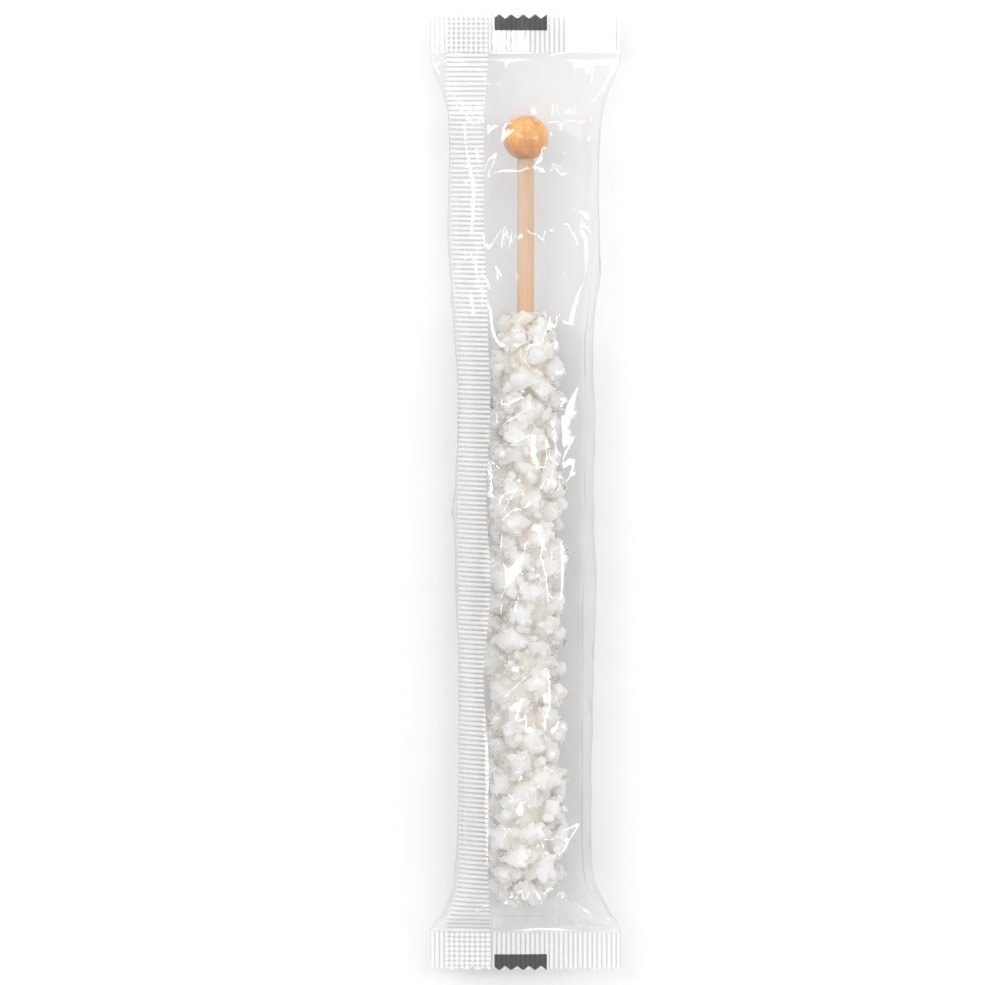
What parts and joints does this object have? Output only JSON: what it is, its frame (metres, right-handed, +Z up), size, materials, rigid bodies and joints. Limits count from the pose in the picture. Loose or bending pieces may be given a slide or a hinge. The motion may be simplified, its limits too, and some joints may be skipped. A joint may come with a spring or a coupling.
{
  "type": "rock candy stick",
  "caption": "Wooden stick with a round knob and white sugar crystals grown along it, sealed in clear flow-wrap film with a long back fin and zigzag-cut crimped ends.",
  "frame": {"origin": "on the ground under the middle of the wrapper's length and width", "axes": "+Y along the stick from the candy tip to the wooden ball; +Z up, away from the surface the wrapped stick lies on; +X to the right when the ball points away, so the film's back seal lies on the upper left"},
  "size_m": [0.04, 0.2, 0.0213],
  "materials": {
    "knob_wood": "glossy varnish",
    "dowel_wood": "smooth, unvarnished",
    "sugar": "milky crystals with bright faces",
    "clear_film": "thin clear plastic film, creased, glossy"
  },
  "bodies": {
    "root": {"ball": "knob_wood", "dowel": "dowel_wood", "rock_candy": "sugar", "wrapper": "clear_film"}
  },
  "joints": []
}
